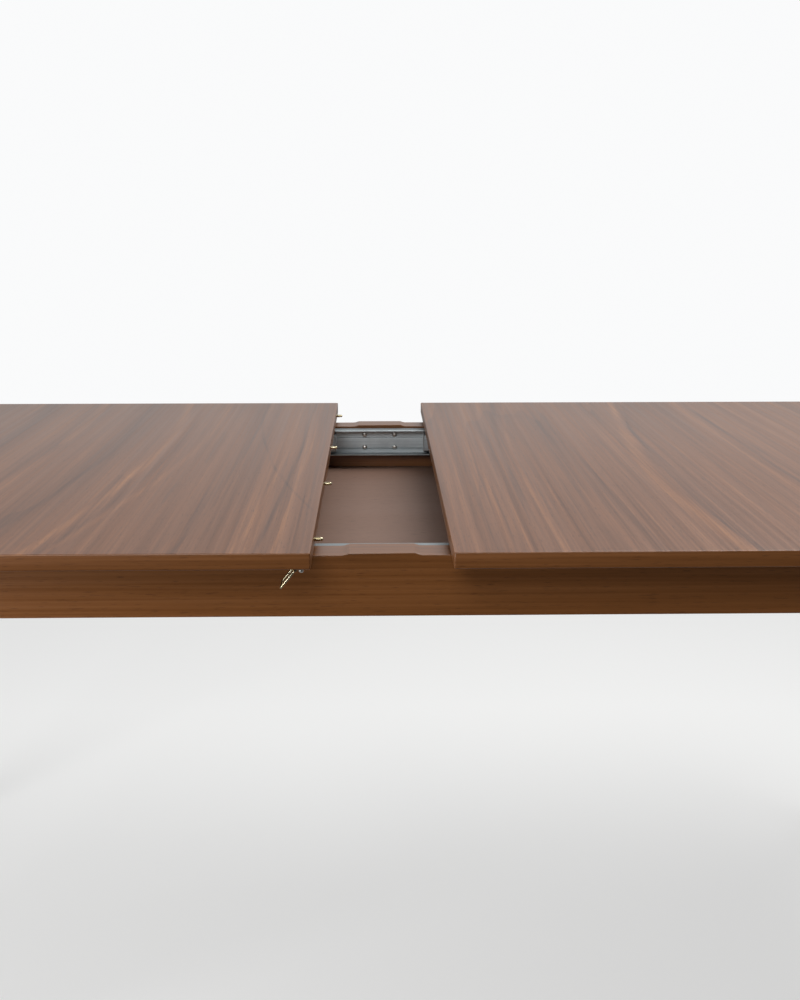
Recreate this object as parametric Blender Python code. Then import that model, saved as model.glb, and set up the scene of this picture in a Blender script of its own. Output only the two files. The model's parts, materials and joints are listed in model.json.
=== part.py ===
"""Extendable dining table, half open. Metres, +Z up, floor at z = 0, table centre at the origin.

X is the way the halves slide, -Y is the front. The frame stands still; each half of the top slides
outwards on ball-bearing slides that are screwed to the inner faces of the long aprons.
"""

from math import cos, pi, radians, sin, sqrt, tau

import bmesh
import bpy
from mathutils import Matrix, Vector

# Driving dimensions
TABLE_HEIGHT = 0.760
HALF_LENGTH = 0.900  # one half of the top, along X
TOP_WIDTH = 0.900
TOP_THICKNESS = 0.0175
OPENED = 0.071  # how far each half stands from closed
TOUCH = 0.0003  # gap kept between pieces that touch

APRON_SETBACK = 0.0658  # from the edge of the top to the outer face of the apron
APRON_THICKNESS = 0.0362
APRON_TOP = 0.7378
APRON_BOTTOM = 0.6705
APRON_EASE = 0.0008
BLOCK_RISE = 0.0021  # the raised middle block on the long aprons
BLOCK_HALF_FLAT = 0.0345
BLOCK_RAMP = 0.0085

LEG_WIDTH = 0.062
LEG_FOOT_WIDTH = 0.036
LEG_PROUD = 0.002  # how far the legs stand out of the aprons
GLIDE_HEIGHT = 0.006

SLIDE_HEIGHT = 0.042
SLIDE_DEPTH = 0.020
SLIDE_CENTRE_Z = 0.7138
SHEET = 0.0016
CHANNEL_HALF_LENGTH = 0.550
RUNNER_LENGTH = 0.389
RUNNER_INSET = 0.002  # from the half's inner edge to the end of the runner
CAGE_LENGTH = 0.220
CAGE_INSET = 0.165  # from the middle of the table to the cage, closed
BALL_RADIUS = 0.0024
BALLS_PER_ROW = 6

BATTEN_INSET = 0.050
BATTEN_LENGTH = 0.330
BATTEN_WIDTH = 0.025
BATTEN_HEIGHT = 0.044

PIN_RADIUS = 0.0022
PIN_PROUD = 0.0098
PIN_BURIED = 0.020
PIN_PLACES = (-0.370, -0.117, 0.109, 0.370)
BORE_RADIUS = 0.0026
BORE_DEPTH = 0.012

LATCH_Y = 0.4345  # middle of the latch, from the table's centre line
LATCH_PIVOT_INSET = 0.0162  # from the half's inner edge
LATCH_PIVOT_DROP = 0.0025  # below the half's underside
BAIL_HALF_WIDTH = 0.011
BAIL_REACH = 0.0226
BAIL_WIRE_RADIUS = 0.0011
BAIL_HANG = radians(51.5)  # below level, towards the outside of the half

TRAY_THICKNESS = 0.006
TRAY_LAP = 0.014  # how far the tray panel reaches under the aprons
CROSS_RAIL_PLACES = (-0.600, -0.200, 0.200, 0.600)
CROSS_RAIL_WIDTH = 0.040
CROSS_RAIL_HEIGHT = 0.020

LEAF_START = 0.100
LEAF_LENGTH = 0.600
LEAF_BOARD_WIDTH = 0.450
LEAF_FOLD_GAP = 0.001

# Worked out from them
UNDERSIDE = TABLE_HEIGHT - TOP_THICKNESS
APRON_OUTER_Y = TOP_WIDTH / 2 - APRON_SETBACK
APRON_INNER_Y = APRON_OUTER_Y - APRON_THICKNESS
APRON_OUTER_X = HALF_LENGTH - APRON_SETBACK
APRON_INNER_X = APRON_OUTER_X - APRON_THICKNESS
LEG_OUTER_X = APRON_OUTER_X + LEG_PROUD
LEG_OUTER_Y = APRON_OUTER_Y + LEG_PROUD
LEG_INNER_X = LEG_OUTER_X - LEG_WIDTH
LEG_INNER_Y = LEG_OUTER_Y - LEG_WIDTH
RUNNER_BACK = SLIDE_DEPTH + 0.0005  # the runner's face that the batten is screwed to

SIDES = {"left": -1, "right": 1}
ENDS = {"front": -1, "rear": 1}


def linear(hex_colour):
    """sRGB hex to a linear RGBA colour."""
    channels = [int(hex_colour[i : i + 2], 16) / 255 for i in (0, 2, 4)]
    return [c / 12.92 if c <= 0.04045 else ((c + 0.055) / 1.055) ** 2.4 for c in channels] + [1]


def material(name, hex_colour, roughness, metallic=0):
    made = bpy.data.materials.new(name)
    made.use_nodes = True
    shader = made.node_tree.nodes["Principled BSDF"]
    shader.inputs["Base Color"].default_value = linear(hex_colour)
    shader.inputs["Roughness"].default_value = roughness
    shader.inputs["Metallic"].default_value = metallic
    return made


def add_object(name, mesh, look, parent=None):
    """An object with its world place in its own location; the mesh is in local coordinates."""
    made = bpy.data.objects.new(name, mesh)
    bpy.context.scene.collection.objects.link(made)
    mesh.materials.append(look)
    made.parent = parent
    return made


def mesh_from(name, build):
    """A mesh filled by build(bm), with its faces turned outwards."""
    bm = bmesh.new()
    build(bm)
    bmesh.ops.recalc_face_normals(bm, faces=bm.faces)
    mesh = bpy.data.meshes.new(name)
    bm.to_mesh(mesh)
    bm.free()
    return mesh


def place(piece, location):
    """Puts a piece at a world location, whatever its parent's place is."""
    parent_place = piece.parent.location if piece.parent else Vector((0, 0, 0))
    piece.location = Vector(location) - parent_place
    return piece


def smooth(piece, angle=40):
    piece.data.shade_smooth()
    piece.data.set_sharp_from_angle(angle=radians(angle))
    return piece


def bevel(piece, width, segments=2, angle=40):
    made = piece.modifiers.new("eased_edges", "BEVEL")
    made.width = width
    made.segments = segments
    made.limit_method = "ANGLE"
    made.angle_limit = radians(angle)
    return piece


def boolean(piece, other, operation):
    made = piece.modifiers.new(other.name, "BOOLEAN")
    made.operation = operation
    made.object = other
    other.hide_render = True
    other.display_type = "WIRE"
    return piece


def box(name, low, high, look, parent=None, edge=0.0, segments=2):
    """A box between two world corners, with its origin in its middle."""
    low, high = Vector(low), Vector(high)

    def build(bm):
        bmesh.ops.create_cube(bm, size=1, matrix=Matrix.Diagonal((*(high - low), 1)))

    piece = place(add_object(name, mesh_from(name, build), look, parent), (low + high) / 2)
    return bevel(piece, edge, segments) if edge else piece


def extrude_outline(bm, outline, depth):
    """Fills a closed outline of 3-D points and pushes it along the vector depth."""
    face = bm.faces.new([bm.verts.new(point) for point in outline])
    pushed = bmesh.ops.extrude_face_region(bm, geom=[face])
    corners = [item for item in pushed["geom"] if isinstance(item, bmesh.types.BMVert)]
    bmesh.ops.translate(bm, verts=corners, vec=depth)


def turned(bm, profile, sides, place_matrix):
    """A solid turned about local Z from (radius, height) points, closed by a flat cap at each end."""
    rings = []
    for radius, height in profile:
        points = [(radius * cos(tau * i / sides), radius * sin(tau * i / sides), height) for i in range(sides)]
        rings.append([bm.verts.new(place_matrix @ Vector(point)) for point in points])
    for lower, upper in zip(rings, rings[1:]):
        for i in range(sides):
            j = (i + 1) % sides
            bm.faces.new((lower[i], lower[j], upper[j], upper[i]))
    bm.faces.new(rings[0])
    bm.faces.new(rings[-1])


def along(direction, origin=(0, 0, 0)):
    """A matrix that puts local Z along a direction at an origin."""
    return Matrix.Translation(origin) @ Vector(direction).to_track_quat("Z", "Y").to_matrix().to_4x4()


def rounded_path(points, radius, steps=3):
    """An open path of points whose corners are replaced by arcs."""
    path = [Vector(points[0])]
    for before, corner, after in zip(points, points[1:], points[2:]):
        before, corner, after = Vector(before), Vector(corner), Vector(after)
        inward, outward = (before - corner).normalized(), (after - corner).normalized()
        half = inward.angle(outward) / 2
        reach = radius / sin(half) * cos(half)
        centre = corner + (inward + outward).normalized() * radius / sin(half)
        start, end = corner + inward * reach, corner + outward * reach
        turn = pi - 2 * half
        for i in range(steps + 1):
            share = i / steps
            mixed = (start - centre) * sin((1 - share) * turn) + (end - centre) * sin(share * turn)
            path.append(centre + mixed / sin(turn))
    path.append(Vector(points[-1]))
    return path


def sheet_outline(path, thickness):
    """The closed outline of a folded sheet whose middle line is a path in two dimensions."""
    steps = [(after - before).normalized() for before, after in zip(path, path[1:])]
    sides = [[], []]
    for point, behind, ahead in zip(path, steps[:1] + steps, steps + steps[-1:]):
        across = (behind + ahead).normalized()
        reach = Vector((-across.y, across.x)) * thickness / 2 / across.dot(ahead)
        sides[0].append(point + reach)
        sides[1].append(point - reach)
    return sides[0] + sides[1][::-1]


def slide_section(name, path, start_x, length, facing, look, parent=None, radius=0.0012, sheet=SHEET):
    """A folded steel section along X. Its path is (distance from the apron, height from the slide's middle)."""
    outline = sheet_outline(rounded_path(path, radius), sheet)

    def build(bm):
        extrude_outline(bm, [(0, facing * u, w) for u, w in outline], (length, 0, 0))

    piece = add_object(name, mesh_from(name, build), look, parent)
    return place(piece, (start_x, -facing * APRON_INNER_Y, SLIDE_CENTRE_Z))


def block_rise(share):
    """The height of the block's ramp: hollow at its foot, with a crease where the flat starts."""
    return BLOCK_RISE * share * share * (1.6 - 0.6 * share)


def long_apron(name, sign, look):
    """A long apron with the raised block in the middle of its upper edge."""
    half = LEG_INNER_X - TOUCH
    steps = 6
    ramp = [
        (BLOCK_HALF_FLAT + BLOCK_RAMP * (1 - i / steps), block_rise(i / steps))
        for i in range(steps + 1)
    ]
    upper = [(half, 0)] + ramp + [(-x, rise) for x, rise in reversed(ramp)] + [(-half, 0)]
    drop = APRON_BOTTOM - APRON_TOP
    outline = [(x, 0, rise) for x, rise in upper] + [(-half, 0, drop), (half, 0, drop)]

    def build(bm):
        extrude_outline(bm, outline, (0, APRON_THICKNESS, 0))

    piece = add_object(name, mesh_from(name, build), look)
    lowest_y = min(sign * APRON_OUTER_Y, sign * APRON_INNER_Y)
    return bevel(place(piece, (0, lowest_y, APRON_TOP)), APRON_EASE)


def leg(name, side, end, look):
    """A square leg whose two inner faces taper below the aprons."""
    levels = (
        (GLIDE_HEIGHT + TOUCH, LEG_FOOT_WIDTH),
        (APRON_BOTTOM - 0.030, LEG_WIDTH),
        (APRON_TOP, LEG_WIDTH),
    )

    def build(bm):
        rings = []
        for height, width in levels:
            corners = ((0, 0), (-width, 0), (-width, -width), (0, -width))
            rings.append([bm.verts.new((side * x, end * y, height)) for x, y in corners])
        for lower, upper in zip(rings, rings[1:]):
            for i in range(4):
                j = (i + 1) % 4
                bm.faces.new((lower[i], lower[j], upper[j], upper[i]))
        bm.faces.new(rings[0])
        bm.faces.new(rings[-1])

    piece = place(add_object(name, mesh_from(name, build), look), (side * LEG_OUTER_X, end * LEG_OUTER_Y, 0))
    return bevel(piece, 0.003, angle=60)


def corner_block(name, side, end, look):
    """A diagonal block between two aprons, just inside the leg."""
    near, far = 0.0525, 0.0840  # from the aprons' inner corner, measured along each apron
    outline = ((-near, 0), (-far, 0), (0, -far), (0, -near))
    height = 0.056

    def build(bm):
        extrude_outline(bm, [(side * x, end * y, 0) for x, y in outline], (0, 0, height))

    corner = (
        side * (APRON_INNER_X - TOUCH),
        end * (APRON_INNER_Y - TOUCH),
        APRON_BOTTOM + 0.006,
    )
    return place(add_object(name, mesh_from(name, build), look), corner)


def leg_bolt(name, side, end, steel, wood_pieces):
    """A bolt with washer and hex nut, through the corner block into the leg, and the holes for it."""
    radius, washer_radius, nut_radius = 0.004, 0.0095, 0.0075
    block_face = 0.0840 / sqrt(2) + TOUCH  # from the aprons' inner corner, along the diagonal
    height = APRON_BOTTOM + 0.034
    corner = Vector((side * (APRON_INNER_X - TOUCH), end * (APRON_INNER_Y - TOUCH), height))
    outward = Vector((side, end, 0)).normalized()
    washer_at = corner - outward * block_face
    washer = ((washer_radius, 0), (washer_radius, -0.0016))
    bolt = ((radius, -0.0110), (radius, 0.078), (radius * 0.5, 0.081))
    nut = ((nut_radius, -0.0085), (nut_radius, -0.0010))

    def solid(profile, sides):
        return lambda bm: turned(bm, profile, sides, along(outward))

    piece = smooth(place(add_object(name, mesh_from(name, solid(bolt, 12)), steel), washer_at))
    for part_name, profile, sides in (("washer", washer, 16), ("nut", nut, 6)):
        extra = add_object(f"{name}_{part_name}", mesh_from(part_name, solid(profile, sides)), steel)
        boolean(piece, place(extra, washer_at), "UNION")
    hole = ((radius + 0.0004, -0.010), (radius + 0.0004, 0.085))
    cutter = place(add_object(f"{name}_hole", mesh_from("hole", solid(hole, 12)), steel), washer_at)
    for wood in wood_pieces:
        boolean(wood, cutter, "DIFFERENCE")
    return piece


def foot_glide(name, side, end, look):
    """A round plastic glide under a leg."""
    radius = 0.014
    profile = ((radius - 0.0015, 0), (radius, 0.0015), (radius, GLIDE_HEIGHT))
    inset = LEG_FOOT_WIDTH / 2
    mesh = mesh_from(name, lambda bm: turned(bm, profile, 20, Matrix()))
    piece = add_object(name, mesh, look)
    return smooth(place(piece, (side * (LEG_OUTER_X - inset), end * (LEG_OUTER_Y - inset), 0)))


def tray_panel(name, look):
    """The bottom of the compartment, screwed under the aprons, cut out around the legs."""
    half_x, half_y = APRON_INNER_X + TRAY_LAP, APRON_INNER_Y + TRAY_LAP
    notch_x, notch_y = LEG_INNER_X - 0.004, LEG_INNER_Y - 0.004
    quarter = ((half_x, 0), (half_x, notch_y), (notch_x, notch_y), (notch_x, half_y), (0, half_y))
    outline = []
    for sx, sy, order in ((1, 1, 1), (-1, 1, -1), (-1, -1, 1), (1, -1, -1)):
        outline += [(sx * x, sy * y, 0) for x, y in quarter[1:-1][::order]]

    def build(bm):
        extrude_outline(bm, outline, (0, 0, -TRAY_THICKNESS))

    return place(add_object(name, mesh_from(name, build), look), (0, 0, APRON_BOTTOM - TOUCH))


def slide_channel(name, end, look):
    """The fixed channel: turned-in lips, an embossed band along its web, and riveted heads."""
    middle = SHEET / 2
    web, edge = TOUCH + middle, SLIDE_DEPTH - middle
    flange = SLIDE_HEIGHT / 2 - middle
    lip = 0.0188
    band_low, band_high, emboss = -0.0118, 0.0052, 0.0011
    path = [
        (edge, lip),
        (edge, flange),
        (web, flange),
        (web, band_high + emboss),
        (web + emboss, band_high),
        (web + emboss, band_low),
        (web, band_low - emboss),
        (web, -flange),
        (edge, -flange),
        (edge, -lip),
    ]
    start = -CHANNEL_HALF_LENGTH
    piece = slide_section(name, path, start, 2 * CHANNEL_HALF_LENGTH, -end, look, radius=0.0008)
    rivet_x, rivet_w, rivet_radius = 0.0245, 0.0103, 0.0036
    screw_places = (-0.500, -0.250, 0.250, 0.500)
    dome = ((rivet_radius, -0.0006), (rivet_radius, 0.0008), (rivet_radius * 0.6, 0.0017))
    seat = TOUCH + SHEET

    def build(bm):
        rows = ((-rivet_w, seat + emboss), (rivet_w, seat))
        places = [(x, w, depth) for x in (-rivet_x, rivet_x) for w, depth in rows]
        places += [(x, rivet_w + 0.001, seat) for x in screw_places]
        for x, w, depth in places:
            turned(bm, dome, 12, along((0, -end, 0), (x - start, -end * depth, w)))

    heads = add_object(f"{name}_rivets", mesh_from("rivets", build), look)
    heads.location = piece.location
    return boolean(piece, heads, "UNION")


def runner(name, side, end, look, parent):
    """The moving member of a slide: a C section that opens towards the apron."""
    middle = SHEET / 2
    back, mouth, flange = RUNNER_BACK - middle, 0.0062, 0.0140 - middle
    path = [(mouth, flange), (back, flange), (back, -flange), (mouth, -flange)]
    near = OPENED + RUNNER_INSET
    start = near if side > 0 else -near - RUNNER_LENGTH
    return slide_section(name, path, start, RUNNER_LENGTH, -end, look, parent)


def ball_cage(name, side, end, look, parent):
    """The ball retainer between channel and runner, with its two rows of balls."""
    sheet = 0.0008
    web, mouth, flange = 0.0048, 0.0150, 0.0167
    path = [(mouth, flange), (web, flange), (web, -flange), (mouth, -flange)]
    near = CAGE_INSET + OPENED / 2
    start = near if side > 0 else -near - CAGE_LENGTH
    piece = slide_section(name, path, start, CAGE_LENGTH, -end, look, parent, 0.0006, sheet)
    ball_depth, pitch = 0.0105, CAGE_LENGTH / BALLS_PER_ROW

    def build(bm):
        for i in range(BALLS_PER_ROW):
            for w in (-flange, flange):
                spot = Matrix.Translation((pitch * (i + 0.5), -end * ball_depth, w))
                bmesh.ops.create_uvsphere(bm, u_segments=8, v_segments=4, radius=BALL_RADIUS, matrix=spot)

    balls = add_object(f"{name}_balls", mesh_from("balls", build), look, parent)
    balls.location = piece.location
    return boolean(piece, balls, "UNION")


def batten(name, side, end, look, parent):
    """The batten under a half that its runner is screwed to."""
    outer_y = APRON_INNER_Y - RUNNER_BACK - TOUCH
    near = OPENED + BATTEN_INSET
    xs = sorted((side * near, side * (near + BATTEN_LENGTH)))
    ys = sorted((end * outer_y, end * (outer_y - BATTEN_WIDTH)))
    low = (xs[0], ys[0], UNDERSIDE - TOUCH - BATTEN_HEIGHT)
    return box(name, low, (xs[1], ys[1], UNDERSIDE - TOUCH), look, parent, 0.0015)


def top_half(name, side, look, metal, parent):
    """One half of the top, with the bores for the alignment pins in its inner edge."""
    xs = sorted((side * OPENED, side * (OPENED + HALF_LENGTH)))
    low, high = (xs[0], -TOP_WIDTH / 2, UNDERSIDE), (xs[1], TOP_WIDTH / 2, TABLE_HEIGHT)
    piece = box(name, low, high, look, parent, 0.0012)
    depth = PIN_BURIED + 0.001 if side < 0 else BORE_DEPTH

    def build(bm):
        for y in PIN_PLACES:
            spot = along((side, 0, 0), (side * (OPENED - 0.005), y, TABLE_HEIGHT - TOP_THICKNESS / 2))
            turned(bm, ((BORE_RADIUS, 0), (BORE_RADIUS, depth + 0.005)), 16, spot)

    return boolean(piece, add_object(f"{name}_bores", mesh_from("bores", build), metal), "DIFFERENCE")


def alignment_pin(name, y, look, parent):
    """A brass pin with a domed tip, set in the left half's inner edge."""
    dome = [
        (PIN_RADIUS * cos(pi / 2 * i / 4), PIN_PROUD - PIN_RADIUS + PIN_RADIUS * sin(pi / 2 * i / 4))
        for i in range(4)
    ]
    profile = [(PIN_RADIUS, -PIN_BURIED)] + dome
    mesh = mesh_from(name, lambda bm: turned(bm, profile, 16, along((1, 0, 0))))
    piece = add_object(name, mesh, look, parent)
    return smooth(place(piece, (-OPENED, y, TABLE_HEIGHT - TOP_THICKNESS / 2)))


def latch_plate(name, end, look, parent):
    """The latch's base: a plate with a rolled barrel that holds the bail's ends."""
    pivot_x = -(OPENED + LATCH_PIVOT_INSET)
    barrel_half, plate_length, plate = 0.0070, 0.0100, 0.0010
    barrel_radius = LATCH_PIVOT_DROP - TOUCH
    pivot = Vector((pivot_x, end * LATCH_Y, UNDERSIDE - LATCH_PIVOT_DROP))
    across = along((0, 1, 0))

    def tube(radius, half):
        return lambda bm: turned(bm, ((radius, -half), (radius, half)), 14, across)

    low = (pivot.x, pivot.y - barrel_half, UNDERSIDE - TOUCH - plate)
    high = (pivot.x + plate_length, pivot.y + barrel_half, UNDERSIDE - TOUCH)
    piece = box(name, low, high, look, parent)
    barrel = place(add_object(f"{name}_barrel", mesh_from("barrel", tube(barrel_radius, barrel_half)), look), pivot)
    boolean(piece, barrel, "UNION")
    bore = add_object(f"{name}_bore", mesh_from("bore", tube(BAIL_WIRE_RADIUS + TOUCH, 0.02)), look)
    boolean(piece, place(bore, pivot), "DIFFERENCE")
    screw_at = (pivot.x + 0.0062, pivot.y, UNDERSIDE - TOUCH - plate + 0.0003)
    head = ((0.0031, 0), (0.0031, 0.0026), (0.0027, 0.0030), (0.0027, 0.0050), (0.0015, 0.0065))
    mesh = mesh_from("screw", lambda bm: turned(bm, head, 12, along((0, 0, -1))))
    return boolean(piece, place(add_object(f"{name}_screw", mesh, look), screw_at), "UNION")


def latch_bail(name, look, parent):
    """The wire loop. Its ends turn inwards into the barrel, and it hangs as it was let go."""
    stub = 0.0015
    width, reach = BAIL_HALF_WIDTH, BAIL_REACH
    flat = [(0, -stub), (0, -width), (reach, -width), (reach, width), (0, width), (0, stub)]
    points = rounded_path([(out, y, 0) for out, y in flat], 0.0022, 4)
    curve = bpy.data.curves.new(name, "CURVE")
    curve.dimensions = "3D"
    curve.bevel_depth = BAIL_WIRE_RADIUS
    curve.bevel_resolution = 2
    curve.use_fill_caps = True
    spline = curve.splines.new("POLY")
    spline.points.add(len(points) - 1)
    for point, target in zip(spline.points, points):
        out, y, _ = target
        point.co = (-out * cos(BAIL_HANG), y, -out * sin(BAIL_HANG), 1)
    made = bpy.data.objects.new(name, curve)
    bpy.context.scene.collection.objects.link(made)
    curve.materials.append(look)
    made.parent = parent
    return made


def latch_keeper(name, end, look, parent):
    """The catch on the right half: a thin plate with a low lug that the bail drops behind."""
    plate = 0.0010
    edge = OPENED + 0.0016
    low = (edge, end * LATCH_Y - 0.0060, UNDERSIDE - TOUCH - plate)
    high = (edge + 0.0140, end * LATCH_Y + 0.0060, UNDERSIDE - TOUCH)
    piece = box(name, low, high, look, parent)
    lug_low = (edge, end * LATCH_Y - 0.0030, UNDERSIDE - 0.0036)
    lug = box(f"{name}_lug", lug_low, (edge + 0.0028, end * LATCH_Y + 0.0030, UNDERSIDE - 0.0010), look)
    return boolean(piece, bevel(lug, 0.0006), "UNION")


def leaf_board(name, low_z, look):
    """One board of the folded leaf."""
    half = LEAF_BOARD_WIDTH / 2
    high = (LEAF_START + LEAF_LENGTH, half, low_z + TOP_THICKNESS)
    return box(name, (LEAF_START, -half, low_z), high, look, None, 0.0012)


def leaf_hinge(name, x, middle_z, look):
    """A fold hinge on the edges of the two leaf boards, folded shut."""
    half_length, knuckle, leaf = 0.022, 0.0030, 0.0012
    edge_y = LEAF_BOARD_WIDTH / 2 + TOUCH
    low = (x - half_length, edge_y, middle_z - 0.014)
    piece = box(name, low, (x + half_length, edge_y + leaf, middle_z + 0.014), look)
    profile = ((knuckle, -half_length), (knuckle, half_length))
    mesh = mesh_from("knuckle", lambda bm: turned(bm, profile, 14, along((1, 0, 0))))
    extra = place(add_object(f"{name}_knuckle", mesh, look), (x, edge_y + knuckle, middle_z))
    return boolean(piece, extra, "UNION")


def joint_empty(name, location, parent=None):
    made = bpy.data.objects.new(name, None)
    bpy.context.scene.collection.objects.link(made)
    made.parent = parent
    return place(made, location)


def build_frame(walnut, panel, hardwood, zinc, plastic):
    for end_name, end in ENDS.items():
        long_apron(f"{end_name}_apron", end, walnut)
        slide_channel(f"{end_name}_slide_channel", end, zinc)
    for side_name, side in SIDES.items():
        xs = sorted((side * APRON_OUTER_X, side * APRON_INNER_X))
        reach = LEG_INNER_Y - TOUCH
        low, high = (xs[0], -reach, APRON_BOTTOM), (xs[1], reach, APRON_TOP)
        box(f"{side_name}_end_apron", low, high, walnut, None, APRON_EASE)
        for end_name, end in ENDS.items():
            corner = f"{end_name}_{side_name}"
            post = leg(f"{corner}_leg", side, end, walnut)
            block = corner_block(f"{corner}_corner_block", side, end, hardwood)
            leg_bolt(f"{corner}_leg_bolt", side, end, zinc, (block, post))
            foot_glide(f"{corner}_foot_glide", side, end, plastic)
    tray_panel("tray_panel", panel)
    rail_reach = APRON_INNER_Y - TOUCH
    for i, x in enumerate(CROSS_RAIL_PLACES, 1):
        low = (x - CROSS_RAIL_WIDTH / 2, -rail_reach, APRON_BOTTOM)
        high = (x + CROSS_RAIL_WIDTH / 2, rail_reach, APRON_BOTTOM + CROSS_RAIL_HEIGHT)
        box(f"cross_rail_{i}", low, high, hardwood, None, 0.0015)


def build_leaf(walnut, brass):
    lower = APRON_BOTTOM + CROSS_RAIL_HEIGHT + TOUCH
    upper = lower + TOP_THICKNESS + LEAF_FOLD_GAP
    leaf_board("leaf_lower_board", lower, walnut)
    leaf_board("leaf_upper_board", upper, walnut)
    for side_name, share in (("left", 0.2), ("right", 0.8)):
        x = LEAF_START + LEAF_LENGTH * share
        leaf_hinge(f"leaf_hinge_{side_name}", x, upper - LEAF_FOLD_GAP / 2, brass)


def build_halves(veneer, hardwood, zinc, brass):
    for side_name, side in SIDES.items():
        slide = joint_empty(f"{side_name}_top_slide", (side * OPENED, 0, UNDERSIDE))
        cages = joint_empty(f"{side_name}_cage_slide", (side * (CAGE_INSET + OPENED / 2), 0, SLIDE_CENTRE_Z))
        top_half(f"{side_name}_top", side, veneer, brass, slide)
        for end_name, end in ENDS.items():
            corner = f"{end_name}_{side_name}"
            batten(f"{corner}_batten", side, end, hardwood, slide)
            runner(f"{corner}_runner", side, end, zinc, slide)
            ball_cage(f"{corner}_ball_cage", side, end, zinc, cages)
            if side < 0:
                latch_plate(f"{end_name}_latch_plate", end, brass, slide)
                pivot = (-(OPENED + LATCH_PIVOT_INSET), end * LATCH_Y, UNDERSIDE - LATCH_PIVOT_DROP)
                hinge = joint_empty(f"{end_name}_bail_hinge", pivot, slide)
                latch_bail(f"{end_name}_latch_bail", brass, hinge)
            else:
                latch_keeper(f"{end_name}_latch_keeper", end, brass, slide)
        if side < 0:
            for i, y in enumerate(PIN_PLACES, 1):
                alignment_pin(f"alignment_pin_{i}", y, brass, slide)


def main():
    for old in list(bpy.data.objects):
        bpy.data.objects.remove(old, do_unlink=True)
    veneer = material("walnut_veneer_top", "86736C", 0.35)
    walnut = material("walnut", "704C32", 0.40)
    panel = material("tray_veneer", "7D675A", 0.35)
    hardwood = material("beech", "A98C66", 0.60)
    zinc = material("zinc_plated_steel", "8A9093", 0.30, 1)
    brass = material("brass", "B9A06A", 0.25, 1)
    plastic = material("black_nylon", "202020", 0.50)
    build_frame(walnut, panel, hardwood, zinc, plastic)
    build_leaf(walnut, brass)
    build_halves(veneer, hardwood, zinc, brass)


main()
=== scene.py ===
"""Looks of the extendable dining table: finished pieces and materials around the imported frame."""

import json
from math import cos, pi, radians, sin, tau

import bmesh
import bpy
from mathutils import Matrix, Vector


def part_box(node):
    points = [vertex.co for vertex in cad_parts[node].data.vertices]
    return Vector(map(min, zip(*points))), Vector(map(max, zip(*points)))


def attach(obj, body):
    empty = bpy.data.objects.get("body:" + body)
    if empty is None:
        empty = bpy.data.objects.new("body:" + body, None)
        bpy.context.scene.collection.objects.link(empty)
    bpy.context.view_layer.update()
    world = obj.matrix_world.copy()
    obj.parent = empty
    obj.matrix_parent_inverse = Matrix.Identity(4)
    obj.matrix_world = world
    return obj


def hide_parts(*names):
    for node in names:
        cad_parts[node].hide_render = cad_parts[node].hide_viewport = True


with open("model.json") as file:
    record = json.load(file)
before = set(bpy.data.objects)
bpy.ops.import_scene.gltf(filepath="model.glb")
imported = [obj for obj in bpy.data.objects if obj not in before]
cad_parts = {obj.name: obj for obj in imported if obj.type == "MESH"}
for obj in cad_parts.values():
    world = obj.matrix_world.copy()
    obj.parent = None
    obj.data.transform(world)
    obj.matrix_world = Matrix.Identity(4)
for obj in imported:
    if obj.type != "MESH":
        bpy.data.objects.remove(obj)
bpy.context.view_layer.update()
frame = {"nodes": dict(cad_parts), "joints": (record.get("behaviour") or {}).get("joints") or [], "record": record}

SIDES = {"left": -1, "right": 1}
ENDS = {"front": -1, "rear": 1}
MM = 0.001

# ---------------------------------------------------------------- nodes


def put(tree, kind, inputs=(), stops=(), **settings):
    """Adds a node. An input's value is a number, a socket, or a node, whose first output is meant."""
    made = tree.nodes.new(kind)
    for key, value in settings.items():
        setattr(made, key, value)
    for key, value in dict(inputs).items():
        if isinstance(value, bpy.types.Node):
            value = next(out for out in value.outputs if out.enabled)
        if isinstance(value, bpy.types.NodeSocket):
            tree.links.new(value, made.inputs[key])
        else:
            made.inputs[key].default_value = value
    if stops:
        elements = made.color_ramp.elements
        while len(elements) < len(stops):
            elements.new(0.5)
        for element, (position, shade) in zip(elements, stops):
            element.position = position
            element.color = shade
    return made


def linear(hex_colour):
    """sRGB hex to linear RGBA."""
    channels = [int(hex_colour[i : i + 2], 16) / 255 for i in (0, 2, 4)]
    return [c / 12.92 if c <= 0.04045 else ((c + 0.055) / 1.055) ** 2.4 for c in channels] + [1]


def new_material(name):
    """An empty material with its Principled shader. Returns the material, its tree and the shader."""
    material = bpy.data.materials.new(name)
    material.use_nodes = True
    return material, material.node_tree, material.node_tree.nodes["Principled BSDF"]


# ---------------------------------------------------------------- wood

AXES = {"x": ("z", "x", "y"), "y": ("x", "y", "z"), "z": ("x", "z", "y")}  # across, along, depth
TONE_PLACES = (0.12, 0.36, 0.56, 0.80, 1.0)  # where the five tones of a wood sit on its ramp


def grain_coordinates(tree, grain_axis):
    """Sockets for the distance across, along and into the board, in metres."""
    place = put(tree, "ShaderNodeTexCoord").outputs["Object"]
    split = put(tree, "ShaderNodeSeparateXYZ", {0: place})
    return [split.outputs["xyz".index(axis)] for axis in AXES[grain_axis]]


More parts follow.
